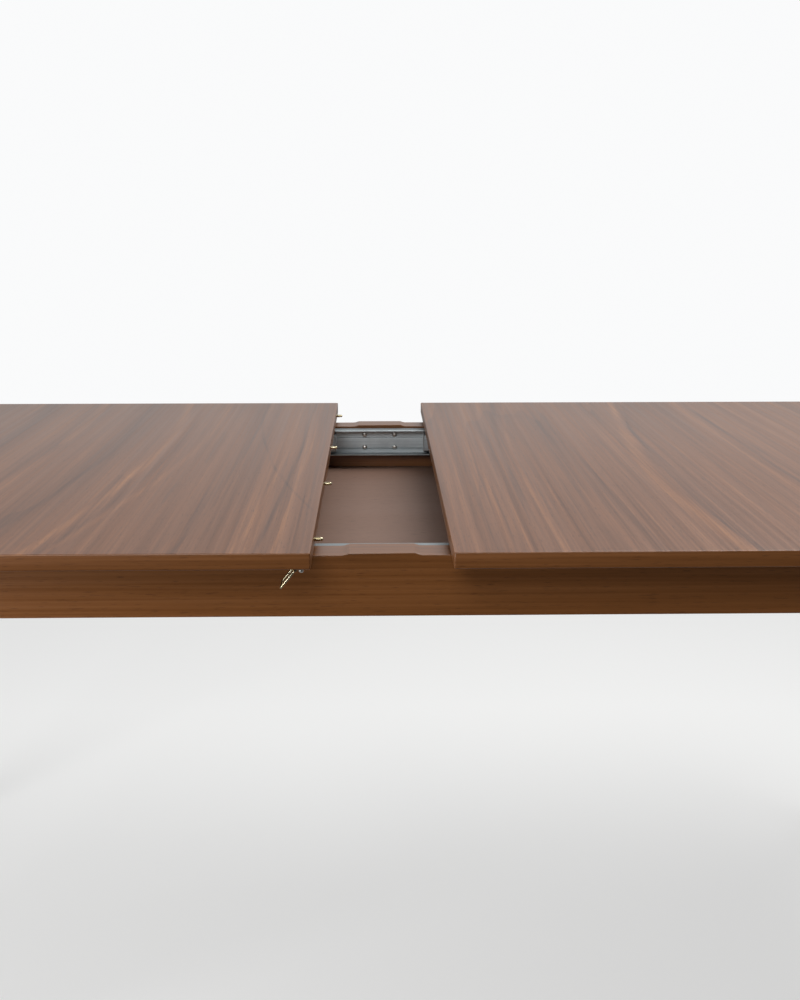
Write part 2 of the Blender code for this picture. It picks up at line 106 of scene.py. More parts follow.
def walnut(name, grain_axis, tones, figure, seed, contrast, roughness):
    """Walnut, sliced or sawn: growth rings cut at a slant make arches round each heart and straight
    lines away from it. Fine fibre lines and short pores run along the grain under a satin lacquer.

    figure holds, in metres: "rings", the ring spacing; "late", how dark each ring's end line is;
    "hearts", each (across, along, slant);
    "streaks", each (across, lean, bow, half width, strength), with its middle line at
    across + lean * along + bow * along squared; and "sway", (lean, bow, start, peak, end), by which
    the whole grain leans and bows between two lines, most at the peak."""
    material, tree, shader = new_material(name)
    across, along_grain, depth = grain_coordinates(tree, grain_axis)

    def math(operation, a, b=0.0, c=0.0):
        return put(tree, "ShaderNodeMath", {0: a, 1: b, 2: c}, operation=operation)

    def ramp(value, low, high, start=0.0, end=1.0):
        limits = {0: value, 1: low, 2: high, 3: start, 4: end}
        return put(tree, "ShaderNodeMapRange", limits, interpolation_type="SMOOTHSTEP")

    def field(across_size, along_size, detail, shift, depth_size=0.08):
        """Noise around zero, whose features have the sizes given."""
        scaled = put(
            tree,
            "ShaderNodeCombineXYZ",
            {
                0: math("MULTIPLY_ADD", across, 1 / across_size, seed + shift),
                1: math("MULTIPLY_ADD", along_grain, 1 / along_size, seed * 1.7),
                2: math("MULTIPLY_ADD", depth, 1 / depth_size, shift),
            },
        )
        noise = put(tree, "ShaderNodeTexNoise", {"Vector": scaled, "Scale": 1.0, "Detail": detail})
        return math("SUBTRACT", noise, 0.5)

    lean, bow, start, peak, end = figure["sway"]
    amount = math("MULTIPLY", ramp(across, start, peak), ramp(across, peak, end, 1.0, 0.0))
    swing = math("MULTIPLY", math("MULTIPLY_ADD", along_grain, bow, lean), along_grain)
    swayed = math("SUBTRACT", across, math("MULTIPLY", swing, amount))
    ripple = math("MULTIPLY", field(0.060, 0.30, 1.0, 8.4), 0.012)
    bent = math("ADD", swayed, ripple)

    nearest = None
    for heart_across, heart_along, slant in figure["hearts"]:
        side = math("POWER", math("ABSOLUTE", math("SUBTRACT", bent, heart_across)), 2.0)
        slope = math("MULTIPLY", math("SUBTRACT", along_grain, heart_along), slant)
        rise = math("POWER", math("ABSOLUTE", slope), 2.0)
        into = math("POWER", math("ABSOLUTE", depth), 2.0)
        reach = math("SQRT", math("ADD", math("ADD", side, rise), into))
        nearest = math("SMOOTH_MIN", nearest, reach, 0.012) if nearest else reach
    spread = math("MULTIPLY", field(0.045, 1.10, 1.0, 5.7), 1.1)
    rings = math("ADD", math("DIVIDE", nearest, figure["rings"]), spread)
    in_ring = math("FRACT", rings)
    ring_number = math("ADD", math("FLOOR", rings), seed)
    this_year = put(tree, "ShaderNodeTexWhiteNoise", {"W": ring_number}, noise_dimensions="1D")
    next_year = put(
        tree, "ShaderNodeTexWhiteNoise", {"W": math("ADD", ring_number, 1.0)}, noise_dimensions="1D"
    )
    band = put(tree, "ShaderNodeMix", {0: ramp(in_ring, 0.0, 1.0), 2: this_year, 3: next_year})
    late_wood = math("POWER", in_ring, 3.0)  # the narrow dark line at the end of each year's growth
    strong_year = ramp(this_year, 0.2, 0.9)

    # Broad clouds, lines about 9 mm apart, fibres about 3 mm and fine fibres about 1 mm apart.
    cloud = field(0.15, 0.60, 3.0, 1.2)
    lines = field(0.009, 1.10, 2.0, 4.9)
    fibre = field(0.0030, 0.40, 2.0, 2.6, 0.004)
    fine_fibre = field(0.0012, 0.08, 2.0, 6.6, 0.002)
    tone = math("MULTIPLY_ADD", math("SUBTRACT", band, 0.5), 0.20 * contrast, 0.5)
    tone = math("MULTIPLY_ADD", math("MULTIPLY", late_wood, strong_year), -figure["late"] * contrast, tone)
    tone = math("MULTIPLY_ADD", cloud, 0.16 * contrast, tone)
    tone = math("MULTIPLY_ADD", lines, 0.40 * contrast, tone)
    tone = math("MULTIPLY_ADD", fibre, 0.62 * contrast, tone)
    tone = math("MULTIPLY_ADD", fine_fibre, 0.30 * contrast, tone)
    for middle, lean, bow, half_width, strength in figure["streaks"]:
        line = math("MULTIPLY_ADD", math("MULTIPLY_ADD", along_grain, bow, lean), along_grain, middle)
        away = math("DIVIDE", math("ABSOLUTE", math("SUBTRACT", bent, line)), half_width)
        patchy = math("MULTIPLY_ADD", field(0.006, 0.30, 3.0, middle * 40), 2.4, 0.62)
        shown = math("MULTIPLY", ramp(away, 0.2, 1.4, 1.0, 0.0), patchy)
        tone = math("MULTIPLY_ADD", shown, strength, tone)
    stops = [(place, linear(shade)) for place, shade in zip(TONE_PLACES, tones)]
    colour = put(tree, "ShaderNodeValToRGB", {0: tone}, stops=stops)

    # Open pores: dark dashes, drawn about 0.8 mm wide, twice their real width, so that they show.
    pores = field(0.0009, 0.016, 1.0, 9.9, 0.0011)
    pore = put(tree, "ShaderNodeMapRange", {0: pores, 1: 0.13, 2: 0.24, 3: 0.0, 4: 0.40})
    layers = {0: pore, 6: colour, 7: linear(tones[0])}
    final = put(tree, "ShaderNodeMix", layers, data_type="RGBA", blend_type="MULTIPLY")
    tree.links.new(final.outputs[2], shader.inputs["Base Color"])
    limits = {0: fibre, 1: -0.4, 2: 0.4, 3: roughness - 0.05, 4: roughness + 0.06}
    sheen = put(tree, "ShaderNodeMapRange", limits)
    tree.links.new(sheen.outputs[0], shader.inputs["Roughness"])
    # The lacquer shines less over the open early wood, so the lines show in the sheen too.
    limits = {0: math("ADD", lines, fibre), 1: -0.35, 2: 0.35, 3: 0.37, 4: 0.63}
    gloss = put(tree, "ShaderNodeMapRange", limits)
    tree.links.new(gloss.outputs[0], shader.inputs["Specular IOR Level"])
    relief = math("MULTIPLY_ADD", pore, -1.0, fibre)
    bump = put(tree, "ShaderNodeBump", {"Strength": 0.10, "Distance": 0.10 * MM, "Height": relief})
    tree.links.new(bump.outputs[0], shader.inputs["Normal"])
    shader.inputs["IOR"].default_value = 1.5
    return material


# Sliced walnut veneer under satin lacquer: brown with grey-brown and orange-brown streaks.
TOP_TONES = ("35211A", "5A3B29", "704930", "8D5F3B", "AE7F50")
# Solid walnut, stained a little: warmer and more even than the veneer.
SOLID_TONES = ("3C200F", "5A3517", "734722", "8C5A2C", "A06C38")
# Stained rubberwood inside: even mid brown.
INNER_TONES = ("4E341C", "664628", "775534", "8A6540", "9C764D")
# Brown paper-foil panel with a printed, nearly plain grain.
TRAY_TONES = ("5A4439", "6F5446", "7D6152", "8A6C5C", "967969")

STRAIGHT = (0.0, 0.0, 0.0, 1.0, 2.0)
LEFT_FIGURE = {
    "rings": 6.5 * MM,
    "late": 0.20,
    "hearts": ((-0.280, -0.450, 0.053), (-0.640, 0.200, 0.050), (-0.860, -0.300, 0.040)),
    "sway": (0.038, -0.155, -0.060, -0.310, -0.900),
    "streaks": (
        (-0.307, 0.0, 0.0, 7 * MM, 0.20),
        (-0.262, 0.050, 0.0, 5 * MM, 0.12),
        (-0.288, 0.0, 0.0, 5 * MM, -0.10),
        (-0.452, 0.0, 0.0, 9 * MM, 0.14),
        (-0.150, -0.190, 0.27, 2.5 * MM, -0.12),
        (-0.113, 0.015, 0.0, 3.0 * MM, -0.22),
        (-0.130, 0.010, 0.0, 2.5 * MM, 0.12),
        (-0.100, 0.010, 0.0, 2.5 * MM, 0.12),
        (-0.084, 0.0, 0.0, 3.0 * MM, 0.12),
        (-0.181, 0.010, 0.0, 5 * MM, 0.10),
        (-0.372, 0.0, 0.0, 4 * MM, -0.10),
        (-0.560, 0.0, 0.0, 9 * MM, 0.12),
        (-0.725, 0.040, 0.10, 11 * MM, 0.16),
        (-0.860, -0.020, 0.0, 6 * MM, -0.12),
    ),
}
RIGHT_FIGURE = {
    "rings": 7.5 * MM,
    "late": 0.44,
    "hearts": ((0.192, -0.430, 0.116), (0.447, -0.460, 0.070), (0.760, 0.300, 0.050)),
    "sway": (0.057, 0.190, 0.100, 0.350, 0.480),
    "streaks": (
        (0.349, 0.0, 0.0, 9 * MM, 0.20),
        (0.365, 0.0, 0.0, 4 * MM, -0.12),
        (0.500, 0.0, 0.02, 9 * MM, 0.20),
        (0.516, 0.0, 0.02, 4 * MM, -0.14),
        (0.579, 0.0, 0.0, 6 * MM, 0.14),
        (0.095, 0.0, 0.0, 22 * MM, -0.07),
        (0.133, 0.010, 0.0, 4.0 * MM, 0.14),
        (0.152, 0.010, 0.0, 3.0 * MM, 0.12),
        (0.168, 0.010, 0.0, 4.0 * MM, -0.13),
        (0.181, 0.010, 0.0, 3.0 * MM, 0.10),
        (0.222, -0.060, 0.0, 12 * MM, 0.07),
        (0.690, -0.040, 0.0, 7 * MM, 0.14),
        (0.800, 0.030, 0.0, 11 * MM, 0.18),
    ),
}


def plain_figure(ring_spacing, *heart):
    """A quiet figure with no streaks, from its ring spacing in mm and its one heart."""
    rings = ring_spacing * MM
    return {"rings": rings, "late": 0.42, "hearts": (heart,), "sway": STRAIGHT, "streaks": ()}


# Each wood: its name, grain axis, tones, figure, seed, contrast and roughness.
WOODS = {
    "left_veneer": ("sliced_walnut_left", "y", TOP_TONES, LEFT_FIGURE, 4.3, 0.58, 0.36),
    "right_veneer": ("sliced_walnut_right", "y", TOP_TONES, RIGHT_FIGURE, 11.8, 0.74, 0.36),
    "leaf_veneer": ("sliced_walnut_leaf", "y", TOP_TONES, (8, 0.35, 0, 0.06), 23.4, 0.62, 0.36),
    "lipping_x": ("walnut_lipping_long", "x", SOLID_TONES, (6, 0.70, 0.2, 0.02), 31.0, 0.5, 0.36),
    "lipping_y": ("walnut_lipping_cross", "y", SOLID_TONES, (6, 0.05, 0.2, 0.02), 37.0, 0.6, 0.36),
    "apron_x": ("solid_walnut_long", "x", SOLID_TONES, (9, 0.69, 0.35, 0.05), 41.0, 0.42, 0.31),
    "apron_y": ("solid_walnut_cross", "y", SOLID_TONES, (9, 0.95, 0.1, 0.05), 43.0, 0.42, 0.36),
    "leg_z": ("solid_walnut_upright", "z", SOLID_TONES, (8, 0.70, 0.3, 0.04), 47.0, 0.8, 0.36),
    "inner_x": ("stained_rubberwood_long", "x", INNER_TONES, (9, 0.6, 0, 0.04), 53.0, 0.5, 0.5),
    "inner_y": ("stained_rubberwood_cross", "y", INNER_TONES, (9, 0.1, 0, 0.04), 59.0, 0.5, 0.5),
    "tray": ("foiled_panel", "x", TRAY_TONES, (14, 0.4, 0, 0.04), 61.0, 0.10, 0.58),
}


def make_materials():
    woods = {}
    for look, (name, grain_axis, tones, figure, *rest) in WOODS.items():
        if isinstance(figure, tuple):
            figure = plain_figure(*figure)
        woods[look] = walnut(name, grain_axis, tones, figure, *rest)
    return {
        **woods,
        "zinc": zinc_plated_steel(),
        "chrome": bearing_steel(),
        "nickel": nickel_plate(),
        "brass": polished_brass(),
        "nylon": moulded_nylon("grey_nylon", "9FA3A5"),
        "black_nylon": moulded_nylon("black_nylon", "1E1E1F"),
    }


# ---------------------------------------------------------------- metal and plastic


def zinc_plated_steel():
    """Cold-rolled steel, blue passivated zinc: a soft blue-grey shine with rolling lines along X. Faces
    that look up are painted a darker grey, as painted shade that dims their bright shine."""
    material, tree, shader = new_material("zinc_plated_steel")
    place = put(tree, "ShaderNodeTexCoord").outputs["Object"]
    lines = put(tree, "ShaderNodeMapping", {"Vector": place, "Scale": (6, 900, 900)})
    rolling = put(tree, "ShaderNodeTexNoise", {"Vector": lines, "Scale": 1.0, "Detail": 3.0})
    blotch = put(tree, "ShaderNodeTexNoise", {"Vector": place, "Scale": 45.0, "Detail": 4.0})
    mixed = put(tree, "ShaderNodeMath", {0: rolling, 1: blotch}, operation="MULTIPLY")
    stops = [(0.12, linear("C6CED2")), (0.42, linear("E2E8EA"))]
    colour = put(tree, "ShaderNodeValToRGB", {0: mixed}, stops=stops)
    facing = put(tree, "ShaderNodeNewGeometry").outputs["Normal"]
    up = put(tree, "ShaderNodeSeparateXYZ", {0: facing}).outputs["Z"]
    # Painted shade: the more a face looks up, the more its colour is mixed toward a darker grey, which dims its
    # reflection.
    up_facing_shade = put(tree, "ShaderNodeMapRange", {0: up, 1: 0.4, 2: 0.9, 3: 0.0, 4: 0.9})
    layers = {0: up_facing_shade, 6: colour, 7: linear("82888A")}
    up_shaded_colour = put(tree, "ShaderNodeMix", layers, data_type="RGBA")
    tree.links.new(up_shaded_colour.outputs[2], shader.inputs["Base Color"])
    rough = put(tree, "ShaderNodeMapRange", {0: blotch, 1: 0.3, 2: 0.7, 3: 0.60, 4: 0.72})
    tree.links.new(rough.outputs[0], shader.inputs["Roughness"])
    bump = put(tree, "ShaderNodeBump", {"Strength": 0.12, "Distance": 0.05 * MM, "Height": rolling})
    tree.links.new(bump.outputs[0], shader.inputs["Normal"])
    shader.inputs["Metallic"].default_value = 1.0
    return material


def bearing_steel():
    """Ground bearing steel: near mirror, with a trace of oil that dulls it in patches."""
    material, tree, shader = new_material("bearing_steel")
    place = put(tree, "ShaderNodeTexCoord").outputs["Object"]
    film = put(tree, "ShaderNodeTexNoise", {"Vector": place, "Scale": 300.0, "Detail": 2.0})
    rough = put(tree, "ShaderNodeMapRange", {0: film, 1: 0.3, 2: 0.7, 3: 0.08, 4: 0.22})
    tree.links.new(rough.outputs[0], shader.inputs["Roughness"])
    shader.inputs["Base Color"].default_value = linear("C4C6C8")
    shader.inputs["Metallic"].default_value = 1.0
    return material


def nickel_plate():
    """Nickel-plated steel rivet: warmer and glossier than the zinc round it, with barrelling marks."""
    material, tree, shader = new_material("nickel_plated_steel")
    place = put(tree, "ShaderNodeTexCoord").outputs["Object"]
    marks = put(tree, "ShaderNodeTexNoise", {"Vector": place, "Scale": 700.0, "Detail": 3.0})
    stops = [(0.35, linear("D9D8D3")), (0.7, linear("F1F0EB"))]
    colour = put(tree, "ShaderNodeValToRGB", {0: marks}, stops=stops)
    tree.links.new(colour.outputs[0], shader.inputs["Base Color"])
    rough = put(tree, "ShaderNodeMapRange", {0: marks, 1: 0.3, 2: 0.7, 3: 0.31, 4: 0.37})
    tree.links.new(rough.outputs[0], shader.inputs["Roughness"])
    shader.inputs["Metallic"].default_value = 1.0
    return material


def polished_brass():
    """Turned and tumbled brass: bright yellow, a little browned where it isn't handled."""
    material, tree, shader = new_material("polished_brass")
    place = put(tree, "ShaderNodeTexCoord").outputs["Object"]
    patina = put(tree, "ShaderNodeTexNoise", {"Vector": place, "Scale": 160.0, "Detail": 4.0})
    stops = [(0.36, linear("A39673")), (0.62, linear("DAD1B4"))]
    colour = put(tree, "ShaderNodeValToRGB", {0: patina}, stops=stops)
    tree.links.new(colour.outputs[0], shader.inputs["Base Color"])
    rough = put(tree, "ShaderNodeMapRange", {0: patina, 1: 0.3, 2: 0.7, 3: 0.30, 4: 0.16})
    tree.links.new(rough.outputs[0], shader.inputs["Roughness"])
    shader.inputs["Metallic"].default_value = 1.0
    return material


def moulded_nylon(name, shade):
    """Injection-moulded nylon: soft sheen, fine spark-eroded texture from the mould."""
    material, tree, shader = new_material(name)
    place = put(tree, "ShaderNodeTexCoord").outputs["Object"]
    spark = put(tree, "ShaderNodeTexNoise", {"Vector": place, "Scale": 1800.0, "Detail": 2.0})
    base = linear(shade)
    worn = [min(1, c * 1.25) for c in base[:3]] + [1]
    colour = put(tree, "ShaderNodeValToRGB", {0: spark}, stops=[(0.3, base), (0.8, worn)])
    tree.links.new(colour.outputs[0], shader.inputs["Base Color"])
    bump = put(tree, "ShaderNodeBump", {"Strength": 0.2, "Distance": 0.05 * MM, "Height": spark})
    tree.links.new(bump.outputs[0], shader.inputs["Normal"])
    shader.inputs["Roughness"].default_value = 0.45
    shader.inputs["IOR"].default_value = 1.53
    return material


# ---------------------------------------------------------------- meshes


def link(name, mesh):
    made = bpy.data.objects.new(name, mesh)
    bpy.context.scene.collection.objects.link(made)
    return made


def mesh_from(name, build, merge=1e-6):
    """A mesh filled by build(bm), merged, with its faces turned outwards."""
    bm = bmesh.new()
    build(bm)
    bmesh.ops.remove_doubles(bm, verts=bm.verts, dist=merge)
    bmesh.ops.recalc_face_normals(bm, faces=bm.faces)
    mesh = bpy.data.meshes.new(name)
    bm.to_mesh(mesh)
    bm.free()
    return mesh


def plain(piece):
    """Turns a piece's modifiers into its mesh."""
    graph = bpy.context.evaluated_depsgraph_get()
    mesh = bpy.data.meshes.new_from_object(piece.evaluated_get(graph))
    piece.modifiers.clear()
    piece.data = mesh
    return piece


def smooth(piece, angle=35):
    piece.data.shade_smooth()
    piece.data.set_sharp_from_angle(angle=radians(angle))
    return piece


def finish(piece, body, slot, *nodes):
    """The last step of every piece: it rides on its body, names its mesh after itself and stands for its nodes.
    The slot is not used.
    """
    piece.data.name = piece.name
    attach(piece, body)
    if nodes:
        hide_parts(*nodes)
    return piece


def body_of(node):
    return next(body for body, nodes in frame["record"]["behaviour"]["bodies"].items() if node in nodes)


def slot_of(node):
    return next(part["material_slot"] for part in frame["record"]["subparts"] if part["node"] == node)


def centre_of(node):
    low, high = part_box(node)
    return (low + high) / 2


def along(direction, origin=(0, 0, 0)):
    """A matrix that puts local Z along a direction at an origin."""
    return Matrix.Translation(origin) @ Vector(direction).to_track_quat("Z", "Y").to_matrix().to_4x4()


def turned(bm, profile, sides, place):
    """A solid turned about local Z from (radius, height) points. A radius of 0 closes it to a point."""
    rings = []
    for radius, height in profile:
        spots = [(radius * cos(tau * i / sides), radius * sin(tau * i / sides), height) for i in range(sides)]
        rings.append([bm.verts.new(place @ Vector(spot)) for spot in (spots if radius else spots[:1])])
    for lower, upper in zip(rings, rings[1:]):
        for i in range(sides):
            j = (i + 1) % sides
            below = [lower[i % len(lower)], lower[j % len(lower)]]
            above = [upper[j % len(upper)], upper[i % len(upper)]]
            bm.faces.new(list(dict.fromkeys(below + above)))
    for ring in (rings[0], rings[-1]):
        if len(ring) > 1:
            bm.faces.new(ring)


def arc(centre, radius, start, stop, steps):
    """Points on an arc in two dimensions, angles in degrees."""
    angles = [radians(start + (stop - start) * i / steps) for i in range(steps + 1)]
    return [(centre[0] + radius * cos(angle), centre[1] + radius * sin(angle)) for angle in angles]


def rounded_path(points, radius, steps=5):
    """An open path of points whose corners are replaced by arcs."""
    path = [Vector(points[0])]
    for before, corner, after in zip(points, points[1:], points[2:]):
        before, corner, after = Vector(before), Vector(corner), Vector(after)
        inward, outward = (before - corner).normalized(), (after - corner).normalized()
        half = inward.angle(outward) / 2
        centre = corner + (inward + outward).normalized() * radius / sin(half)
        start, end = (corner + way * radius / sin(half) * cos(half) for way in (inward, outward))
        turn = pi - 2 * half
        for i in range(steps + 1):
            share = i / steps
            mixed = (start - centre) * sin((1 - share) * turn) + (end - centre) * sin(share * turn)
            path.append(centre + mixed / sin(turn))
    path.append(Vector(points[-1]))
    return path


def sheet_outline(path, thickness):
    """The closed outline of a folded sheet whose middle line is a path in two dimensions."""
    steps = [(after - before).normalized() for before, after in zip(path, path[1:])]
    sides = [[], []]
    for point, behind, ahead in zip(path, steps[:1] + steps, steps + steps[-1:]):
        across = (behind + ahead).normalized()
        reach = Vector((-across.y, across.x)) * thickness / 2 / across.dot(ahead)
        sides[0].append(point + reach)
        sides[1].append(point - reach)
    return sides


def extrude_sheet(bm, sides, point_at, low, high, stations=2):
    """Sweeps a folded sheet's outline from low to high, with its ends closed strip by strip."""
    outline = sides[0] + sides[1][::-1]
    rings = []
    for i in range(stations):
        at = low + (high - low) * i / (stations - 1)
        rings.append([bm.verts.new(point_at(u, w, at)) for u, w in outline])
    count, half = len(outline), len(sides[0])
    for lower, upper in zip(rings, rings[1:]):
        for i in range(count):
            j = (i + 1) % count
            bm.faces.new((lower[i], lower[j], upper[j], upper[i]))
    for ring in (rings[0], rings[-1]):
        for i in range(half - 1):
            bm.faces.new((ring[i], ring[i + 1], ring[count - 2 - i], ring[count - 1 - i]))


def copied(name, node, edge, segments=3, angle=30):
    """A copy of a CAD node, merged back into flat faces, with its edges eased and shaded smooth."""
    bm = bmesh.new()
    bm.from_mesh(frame["nodes"][node].data)
    bmesh.ops.remove_doubles(bm, verts=bm.verts, dist=2e-6)
    bmesh.ops.dissolve_limit(bm, angle_limit=radians(1.0), verts=bm.verts, edges=bm.edges)
    mesh = bpy.data.meshes.new(name)
    bm.to_mesh(mesh)
    bm.free()
    piece = link(name, mesh)
    if edge:
        ease = piece.modifiers.new("eased_edges", "BEVEL")
        ease.width = edge
        ease.segments = segments
        ease.limit_method = "ANGLE"
        ease.angle_limit = radians(angle)
        plain(piece)
    return smooth(piece)


def paint(piece, *materials):
    piece.data.materials.clear()
    for material in materials:
        piece.data.materials.append(material)
    return piece


# ---------------------------------------------------------------- fasteners by geometry nodes


def new_tree(name, sizes):
    """A geometry tree with one named input for each size, and its input and output nodes."""
    tree = bpy.data.node_groups.new(name, "GeometryNodeTree")
    tree.interface.new_socket("Places", in_out="INPUT", socket_type="NodeSocketGeometry")
    for size in sizes:
        tree.interface.new_socket(size, in_out="INPUT", socket_type="NodeSocketFloat")
    tree.interface.new_socket("Facing", in_out="INPUT", socket_type="NodeSocketVector")
    tree.interface.new_socket("Finish", in_out="INPUT", socket_type="NodeSocketMaterial")
    tree.interface.new_socket("Pieces", in_out="OUTPUT", socket_type="NodeSocketGeometry")
    return tree, put(tree, "NodeGroupInput")


def close_tree(tree, given, head, spin):
    """Sets the head on every place, facing one way, and ends with real geometry and its material."""
    facing = put(
        tree, "FunctionNodeAlignRotationToVector", {"Vector": given.outputs["Facing"]}, axis="Z"
    )
    turn = facing
    if spin:
        angle = put(tree, "FunctionNodeRandomValue", {2: 0.0, 3: tau, "Seed": 7}, data_type="FLOAT")
        about = put(tree, "ShaderNodeCombineXYZ", {2: angle.outputs[1]})
        local = put(tree, "FunctionNodeEulerToRotation", {0: about})
        turn = put(tree, "FunctionNodeRotateRotation", {0: facing, 1: local}, rotation_space="LOCAL")
    set_on = put(
        tree,
        "GeometryNodeInstanceOnPoints",
        {"Points": given.outputs["Places"], "Instance": head, "Rotation": turn},
    )
    real = put(tree, "GeometryNodeRealizeInstances", {0: set_on})
    shaded = put(tree, "GeometryNodeSetShadeSmooth", {0: real, "Shade Smooth": False})
    done = put(tree, "GeometryNodeSetMaterial", {0: shaded, "Material": given.outputs["Finish"]})
    put(tree, "NodeGroupOutput", {0: done})
    return tree


def screw_tree():
    """A countersunk screw head with a cross recess, its rim standing a little proud."""
    tree, given = new_tree("cross_recess_screw", ("Head radius", "Head height"))
    radius, height = given.outputs["Head radius"], given.outputs["Head height"]

    def share(value, factor):
        return put(tree, "ShaderNodeMath", {0: value, 1: factor}, operation="MULTIPLY")

    head = put(
        tree,
        "GeometryNodeMeshCone",
        {"Vertices": 20, "Radius Top": share(radius, 0.82), "Radius Bottom": radius, "Depth": height},
    )
    arms = []
    for wide, thin in ((0, 1), (1, 0)):
        lengths = {wide: share(radius, 1.15), thin: share(radius, 0.24), 2: share(height, 1.4)}
        size = put(tree, "ShaderNodeCombineXYZ", lengths)
        arms.append(put(tree, "GeometryNodeMeshCube", {"Size": size}))
    lift = put(tree, "ShaderNodeCombineXYZ", {2: height})
    cross = put(tree, "GeometryNodeMeshBoolean", operation="UNION")
    for arm in arms:
        tree.links.new(arm.outputs[0], cross.inputs["Mesh 2"])
    raised = put(tree, "GeometryNodeTransform", {0: cross, "Translation": lift})
    cut = put(tree, "GeometryNodeMeshBoolean", {"Mesh 1": head}, operation="DIFFERENCE")
    tree.links.new(raised.outputs[0], cut.inputs["Mesh 2"])
    return close_tree(tree, given, cut, spin=True)


def rivet_tree():
    """A round-headed rivet: a low dome, whose lower half is sunk in the sheet."""
    tree, given = new_tree("round_rivet", ("Head radius", "Head height"))
    radius, height = given.outputs["Head radius"], given.outputs["Head height"]
    ball = put(tree, "GeometryNodeMeshUVSphere", {"Segments": 28, "Rings": 16, "Radius": 1.0})
    size = put(tree, "ShaderNodeCombineXYZ", {0: radius, 1: radius, 2: height})
    dome = put(tree, "GeometryNodeTransform", {0: ball, "Scale": size})
    return close_tree(tree, given, dome, spin=False)


def ball_tree():
    """Bearing balls on a line: the places are the ball centres."""
    tree, given = new_tree("bearing_ball", ("Ball radius",))
    ball = put(
        tree, "GeometryNodeMeshIcoSphere", {"Radius": given.outputs["Ball radius"], "Subdivisions": 3}
    )
    return close_tree(tree, given, ball, spin=False)


def grow(name, tree, places, sizes, facing, finish_material, body, slot):
    """Runs a fastener tree on a set of places and keeps the result as a plain mesh."""
    mesh = bpy.data.meshes.new(name)
    mesh.from_pydata([tuple(place) for place in places], [], [])
    piece = link(name, mesh)
    modifier = piece.modifiers.new("fasteners", "NODES")
    values = {**sizes, "Facing": facing, "Finish": finish_material}
    modifier.node_group = tree
    for item in tree.interface.items_tree:
        if item.in_out == "INPUT" and item.name in values:
            modifier[item.identifier] = values[item.name]
    plain(piece)
    smooth(piece, 40)
    return finish(piece, body, slot)


# ---------------------------------------------------------------- boards

TOP_RADIUS = 1.6 * MM  # the arris that takes the light along the top's edges
BORE_CLEARANCE = 0.35 * MM
MOUTH_CHAMFER = 0.75 * MM
FREE_BORE_DEPTH = 12 * MM  # in the half that has no pins


def board(name, node, face, edge_x, edge_y, radius=TOP_RADIUS, bores=()):
    """A veneered board with lipped edges: the face grain runs along Y, each lipping along its edge."""
    low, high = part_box(node)
    size = high - low

    def build(bm):
        place = Matrix.Translation((low + high) / 2) @ Matrix.Diagonal((*size, 1))
        bmesh.ops.create_cube(bm, size=1, matrix=place)
        bmesh.ops.bevel(bm, geom=bm.edges[:], offset=radius, segments=5, profile=0.5, affect="EDGES")

    piece = link(name, mesh_from(name, build))
    paint(piece, face, edge_x, edge_y)
    for polygon in piece.data.polygons:
        normal = polygon.normal
        largest = max(range(3), key=lambda i: abs(normal[i]))
        polygon.material_index = {2: 0, 1: 1, 0: 2}[largest]
    if bores:

        def drill(bm):
            for profile, place in bores:
                turned(bm, profile, 32, place)

        cutter = link(f"{name}_drill", mesh_from("drill", drill))
        paint(cutter, edge_y)
        cut = piece.modifiers.new("bores", "BOOLEAN")
        cut.object = cutter
        cut.material_mode = "TRANSFER"
        plain(piece)
        bpy.data.objects.remove(cutter)
    return finish(smooth(piece), body_of(node), slot_of(node), node)


def make_tops(look):
    """The two halves, drilled for the pins, and the stowed leaf's boards."""
    pins = [centre_of(f"alignment_pin_{i}") for i in range(1, 5)]
    pin_low, pin_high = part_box("alignment_pin_1")
    bore = (pin_high.y - pin_low.y) / 2 + BORE_CLEARANCE
    mouth = bore + MOUTH_CHAMFER
    for side_name, side in SIDES.items():
        low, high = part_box(f"{side_name}_top")
        inner_x = high.x if side < 0 else low.x
        depth = inner_x - pin_low.x + 2 * MM if side < 0 else FREE_BORE_DEPTH
        profile = [(mouth + MM, -MM), (mouth, 0), (bore, MOUTH_CHAMFER), (bore, depth), (0, depth + MM)]
        bores = [(profile, along((side, 0, 0), (inner_x, pin.y, pin.z))) for pin in pins]
        node = f"{side_name}_top"
        veneer = look[f"{side_name}_veneer"]
        board(f"{node}_board", node, veneer, look["lipping_x"], look["lipping_y"], bores=bores)
    for node in ("leaf_lower_board", "leaf_upper_board"):
        board(f"{node}_veneered", node, look["leaf_veneer"], look["lipping_x"], look["lipping_y"])


# ---------------------------------------------------------------- frame


BLOCK_CREASE = 8  # degrees: keeps the crease where the aprons' raised middle block starts


def make_frame(look):
    """Aprons, legs, blocks, rails and tray, eased and shaded from their CAD shapes."""
    plan = {"tray_panel": ("tray", 0.5 * MM)}
    for end_name in ENDS:
        plan[f"{end_name}_apron"] = ("apron_x", 0)
        for side_name in SIDES:
            corner = f"{end_name}_{side_name}"
            plan[f"{side_name}_end_apron"] = ("apron_y", 0)
            plan[f"{corner}_leg"] = ("leg_z", 0)
            plan[f"{corner}_corner_block"] = ("inner_x", 1.0 * MM)
            plan[f"{corner}_batten"] = ("inner_x", 0)
    for i in range(1, 5):
        plan[f"cross_rail_{i}"] = ("inner_y", 0)
    for node, (finish_name, edge) in plan.items():
        piece = paint(copied(f"{node}_finished", node, edge), look[finish_name])
        if node in ("front_apron", "rear_apron"):
            smooth(piece, BLOCK_CREASE)
        finish(piece, body_of(node), slot_of(node), node)


# ---------------------------------------------------------------- slides

